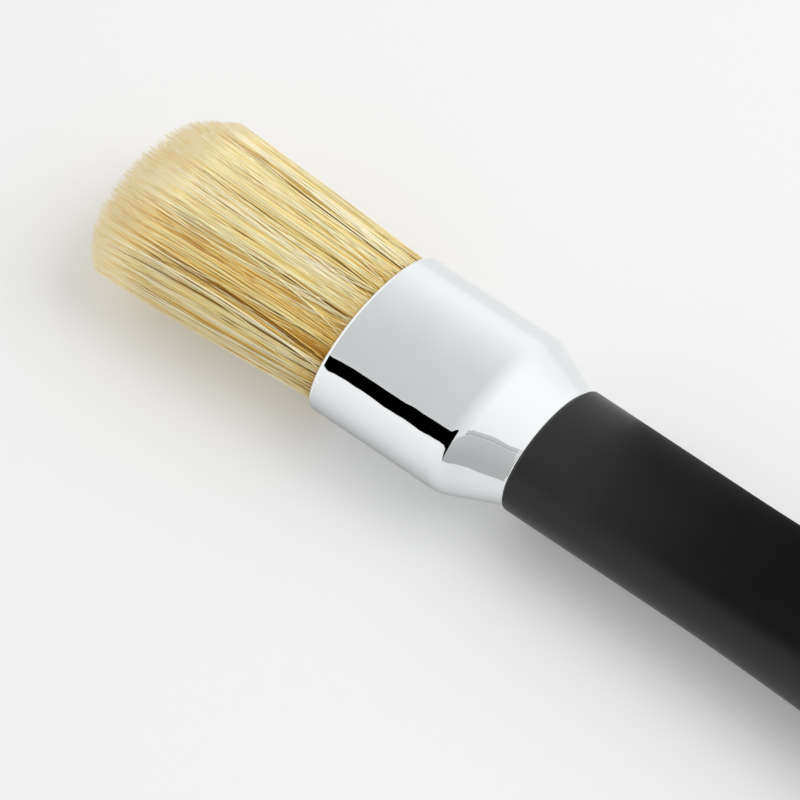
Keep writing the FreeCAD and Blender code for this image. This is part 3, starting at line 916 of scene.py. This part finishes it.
def seen_rays(tree):
    """A mask for what the camera sees, directly, mirrored or through glass."""
    path = add_node(tree, "ShaderNodeLightPath")
    direct = add_node(tree, "ShaderNodeMath", {
        0: path.outputs["Is Camera Ray"], 1: path.outputs["Is Glossy Ray"]}, operation="MAXIMUM")
    through = add_node(tree, "ShaderNodeMath", {
        0: direct.outputs[0], 1: path.outputs["Is Transmission Ray"]}, operation="MAXIMUM")
    return through.outputs[0]


def table_finish():
    material, tree, shader = new_material("pale_table")
    grain = unevenness(tree, 6.0, 400.0, 0.3)
    colour = ramp(tree, grain, [(0.3, (0.77, 0.772, 0.774)), (0.7, (0.782, 0.784, 0.786))])
    tree.links.new(colour, shader.inputs["Base Color"])
    shader.inputs["Roughness"].default_value = 0.9
    shader.inputs["Specular IOR Level"].default_value = 0.1
    shader.inputs["Emission Strength"].default_value = TABLE_GLOW
    tree.links.new(seen_rays(tree), shader.inputs["Emission Color"])
    return material


deselect_all()
bpy.ops.mesh.primitive_plane_add(size=TABLE_SIZE)
table = bpy.context.object
table.name = table.data.name = "table"
table.data.materials.append(table_finish())
print(f"table {TABLE_SIZE:.0f} m across")

# %% [markdown]
# ## Reflection cards
# Chrome shows whatever stands round it, so a studio puts cards there. Each card is cut to the shape that
# its reflection should have. A place on the ferrule is named by how far along it is and by its turn, which
# is 0 degrees at the near side and 90 on top. From there, the view bounces off the chrome to a place on
# the card, at arm's reach or, where the chrome looks down, just over the table. Only reflections see the
# cards, so they cast no light and no shadow.

# %% Where the chrome looks
REACH = 0.25
FACET = 0.01
CARD_LIFT = 0.3 * MM


def outside_point(x, turn):
    """A point on the outside of the ferrule or of the grip behind it."""
    if x < SHOULDER_X:
        x, wide, thick = on_barrel(x)
    elif x < NECK_X:
        x, wide, thick = on_cone(x)
    else:
        wide, thick = GRIP_FRONT
    return Vector((x, -wide * math.cos(turn), AXIS_Z + thick * math.sin(turn)))


def look(x_mm, turn_degrees):
    """A place on the chrome and the way it looks: x is in mm from the mouth."""
    x = MOUTH_X + x_mm * MM
    bend_start = SHOULDER_X - SHOULDER_BLEND
    bend_end = SHOULDER_X + SHOULDER_BLEND
    if bend_start < x < bend_end:
        share = (x - bend_start) / (bend_end - bend_start)
        first = look((bend_start - MOUTH_X) / MM, turn_degrees)
        last = look((bend_end - MOUTH_X) / MM, turn_degrees)
        here, way = (a.lerp(b, share) for a, b in zip(first, last))
        return here, way.normalized()
    turn = math.radians(turn_degrees)
    here = outside_point(x, turn)
    along = outside_point(x + 4 * FACET * MM, turn) - here
    around = outside_point(x, turn + FACET) - here
    normal = along.cross(around).normalized()
    if normal.dot(here - Vector((x, 0, AXIS_Z))) < 0:
        normal = -normal
    view = (eye - here).normalized()
    return here, 2 * normal.dot(view) * normal - view


# %% [markdown]
# A card is a sheet with a brightness at each of its points, so that one sheet can shade from grey to white.
# Its points are worked out in a grid: columns go along the brush, and rows go round it.

# %% Cut a card
CARD_TINT = (0.985, 1.0, 1.004)


def glow_material(name):
    """Light of the brightness written in the card's own attribute."""
    material = bpy.data.materials.new(name)
    material.use_nodes = True
    tree = material.node_tree
    tree.nodes.clear()
    glow = add_node(tree, "ShaderNodeAttribute", attribute_name="glow")
    light = add_node(tree, "ShaderNodeEmission", {"Color": glow.outputs["Color"]})
    output = add_node(tree, "ShaderNodeOutputMaterial")
    tree.links.new(light.outputs["Emission"], output.inputs["Surface"])
    return material


CARD_GLOW = glow_material("card_glow")


def card_grid(columns, reach, rows, between):
    """Points and shades of a card, row by row, with extra steps between its columns."""
    shares = np.linspace(0, 1, rows)
    places = np.array([x for x, _ in columns])
    turns = [np.interp(shares, (0, 1), (stops[0][0], stops[-1][0])) for _, stops in columns]
    glows = [np.interp(spread, *zip(*stops)) for spread, (_, stops) in zip(turns, columns)]
    order = np.arange(len(columns))
    steps = np.linspace(0, len(columns) - 1, (len(columns) - 1) * between + 1)
    points = []
    shades = []
    for step in steps:
        x = float(np.interp(step, order, places))
        for row in range(rows):
            turn = float(np.interp(step, order, [column[row] for column in turns]))
            glow = float(np.interp(step, order, [column[row] for column in glows]))
            here, way = look(x, turn)
            room = (here.z - CARD_LIFT) / -way.z if way.z < 0 else reach
            points.append(here + way * min(reach, room))
            shades.extend((*(glow * tint for tint in CARD_TINT), 1.0))
    return points, shades


def card(name, columns, reach=REACH, rows=30, between=4):
    """Cut a card. Each column is (x in mm, [(turn, brightness), ...]) and is divided evenly."""
    points, shades = card_grid(columns, reach, rows, between)
    faces = []
    for start in range(0, len(points) - rows, rows):
        for corner in range(start, start + rows - 1):
            faces.append((corner, corner + 1, corner + rows + 1, corner + rows))
    mesh = bpy.data.meshes.new(name)
    mesh.from_pydata(points, [], faces)
    mesh.attributes.new("glow", "FLOAT_COLOR", "POINT").data.foreach_set("color", shades)
    mesh.materials.append(CARD_GLOW)
    sheet = bpy.data.objects.new(name, mesh)
    bpy.context.scene.collection.objects.link(sheet)
    sheet.visible_camera = False
    sheet.visible_diffuse = False
    sheet.visible_transmission = False
    sheet.visible_volume_scatter = False
    sheet.visible_shadow = False
    print(f"{name}: {len(faces)} faces")


def graded(turns, glows):
    """Stops of a column: a brightness at each turn."""
    return list(zip(turns, glows))


def plain_column(x, low, high, glow):
    """A column of one brightness."""
    return x, [(low, glow), (high, glow)]


# %% [markdown]
# The barrel shows a grey ceiling above, paler towards the far side, and a white band below the dark stripe
# that fades to grey near the table. The cone faces another way and shows a white wall. Both cards start at
# the lowest turn that the camera sees, because past it the view would bounce back through the brush.

# %% Cards for the barrel and the cone
BARREL_TURNS = (
    -19, -16, -12, -6, 6, 14, 21, 34, 48,
    62, 80, 100, 112, 120, 128, 134, 150,
)
CONE_TURNS = (
    -31, -24, -16, -6, 6, 14, 21, 30, 48,
    60, 80, 100, 112, 120, 128, 134, 150,
)
BARREL_FRONT = (
    0.33, 0.34, 0.365, 0.455, 0.65, 0.78, 0.85, 0.97, 0.63,
    0.65, 0.69, 0.82, 0.95, 1.0, 0.98, 0.86, 0.86,
)
BARREL_BACK = (
    0.34, 0.35, 0.37, 0.455, 0.65, 0.78, 0.85, 0.96, 0.65,
    0.67, 0.70, 0.80, 0.93, 1.0, 1.0, 0.88, 0.88,
)
CONE_FRONT = (
    0.43, 0.41, 0.43, 0.61, 0.74, 0.79, 0.80, 0.80, 0.88,
    0.96, 1.03, 1.06, 1.04, 1.0, 0.98, 0.88, 0.88,
)
CONE_BACK = (
    0.43, 0.41, 0.44, 0.60, 0.74, 0.80, 0.80, 0.80, 0.90,
    0.97, 1.04, 1.06, 1.04, 1.0, 0.98, 0.88, 0.88,
)
BARREL_START = -2.0
BARREL_MIDDLE = 12.0
BEND_START = 24.4
BEND_END = 27.4
CONE_END = 35.7
card("barrel_card", [
    (BARREL_START, graded(BARREL_TURNS, BARREL_FRONT)),
    (BARREL_MIDDLE, graded(BARREL_TURNS, BARREL_FRONT)),
    (BEND_START, graded(BARREL_TURNS, BARREL_BACK)),
], rows=90)
card("cone_card", [
    (BEND_START, graded(BARREL_TURNS, BARREL_BACK)),
    (BEND_END, graded(CONE_TURNS, CONE_FRONT)),
    (CONE_END, graded(CONE_TURNS, CONE_BACK)),
], rows=90, between=8)

# %% [markdown]
# A black strip leaves the dark stripe along the lower third. It starts rounded, just inside the rim, and
# runs into the bend. On the cone, a grey card and a narrow paler one above it take its place. They stand a
# little nearer than the large cards, so that they are seen in front of them.

# %% Cards for the stripe and its continuation on the cone
STRIPE = (
    (1.4, 39.6, 40.8), (1.6, 37.6, 42.8), (2.0, 35.8, 44.4), (2.6, 34.9, 45.0), (3.4, 34.6, 44.9),
    (5.0, 35.3, 44.2), (8.5, 36.4, 45.4), (11.0, 36.2, 45.8), (14.5, 35.5, 46.0), (17.5, 36.6, 46.0),
    (20.0, 35.9, 46.9), (22.5, 36.2, 47.0), (24.4, 37.2, 47.4), (25.0, 37.2, 47.8), (25.5, 35.6, 50.4),
    (25.9, 26.6, 50.8),
)
PATCH = (
    (25.9, 26.4, 40.0), (26.3, 26.4, 46.0), (27.0, 26.2, 49.2), (28.0, 26.2, 50.6), (30.0, 25.8, 51.8),
    (33.0, 24.8, 51.4), (34.6, 24.0, 52.4), (35.7, 23.4, 53.0),
)
STRIPE_REACH = 0.96 * REACH
PATCH_REACH = 0.95 * REACH
card("stripe_card", [plain_column(x, low, high, 0.0) for x, low, high in STRIPE], STRIPE_REACH)
PATCH_SHARES = (0.0, 0.35, 0.65, 1.0)
PATCH_GLOWS = (0.455, 0.465, 0.51, 0.57)
card("patch_card", [
    (x, graded([low + share * (high - low) for share in PATCH_SHARES], PATCH_GLOWS))
    for x, low, high in PATCH
], PATCH_REACH)
EDGE_STEPS_UP = (0.0, 0.4, 0.6, 1.2, 3.2, 3.5, 3.9)
EDGE_GLOWS = (0.78, 0.74, 0.36, 0.50, 0.64, 0.46, 0.60)
card("edge_card", [
    (x, graded([high + step for step in EDGE_STEPS_UP], EDGE_GLOWS))
    for x, low, high in PATCH[2:]
], PATCH_REACH, rows=40)

# %% [markdown]
# The grip shows what stands over it too, softly. A dim card close over it is grey behind the neck and dark
# from there on, so the grip's top darkens along its length, while the pale table still shows in its lower
# edge. It starts some way behind the neck, where the ferrule doesn't see it.

# %% Dim card over the grip
GRIP_REACH = 0.012
GRIP_TURNS = (40, 65, 90, 115, 168)
GRIP_START = (0.85, 0.64, 0.45, 0.28, 0.22)
GRIP_FADE = (1.25, 1.1, 0.95, 0.62, 0.5)
GRIP_GLOWS = ((52, 0.38), (61, 0.27), (69, 0.15), (77, 0.08), (90, 0.05), (190, 0.05))
GRIP_COLUMNS = [(45.0, graded(GRIP_TURNS, GRIP_START))]
for x, glow in GRIP_GLOWS:
    GRIP_COLUMNS.append((x, graded(GRIP_TURNS, [glow * fade for fade in GRIP_FADE])))
card("ceiling_card", GRIP_COLUMNS, GRIP_REACH)

# %% [markdown]
# ## Light
# One large square lamp behind the brush, high on the right, gives a soft shadow. An even room fills the rest.
# The room looks white to the camera and in reflections, but lights the brush with only part of that.

# %% Lamp and room
KEY_PLACE = (0.62, 0.62, 1.0)
KEY_SIZE = 1.3
KEY_RADIANCE = 1.9
ROOM_LIGHT = 0.62
ROOM_COLOUR = (0.993, 0.996, 1.0, 1)
key = bpy.data.lights.new("key", "AREA")
key.shape = "SQUARE"
key.size = KEY_SIZE
key.energy = KEY_RADIANCE * math.pi * KEY_SIZE * KEY_SIZE
holder = bpy.data.objects.new("key", key)
holder.location = KEY_PLACE
holder.rotation_euler = Vector(KEY_PLACE).to_track_quat("Z", "Y").to_euler()
holder.visible_glossy = False
bpy.context.scene.collection.objects.link(holder)
world = bpy.data.worlds.new("room")
bpy.context.scene.world = world
world.use_nodes = True
world.cycles.sampling_method = "NONE"
room = world.node_tree
background = room.nodes["Background"]
background.inputs["Color"].default_value = ROOM_COLOUR
strength = add_node(room, "ShaderNodeMath", {
    0: seen_rays(room), 1: 1 - ROOM_LIGHT, 2: ROOM_LIGHT}, operation="MULTIPLY_ADD")
room.links.new(strength.outputs[0], background.inputs["Strength"])
print(f"lamp {key.energy:.1f} W, room at {ROOM_LIGHT:.0%}")

# %% [markdown]
# ## Finish
# The last cell sets the colour view to Standard.

# %% Set the colour view
bpy.context.scene.view_settings.view_transform = "Standard"
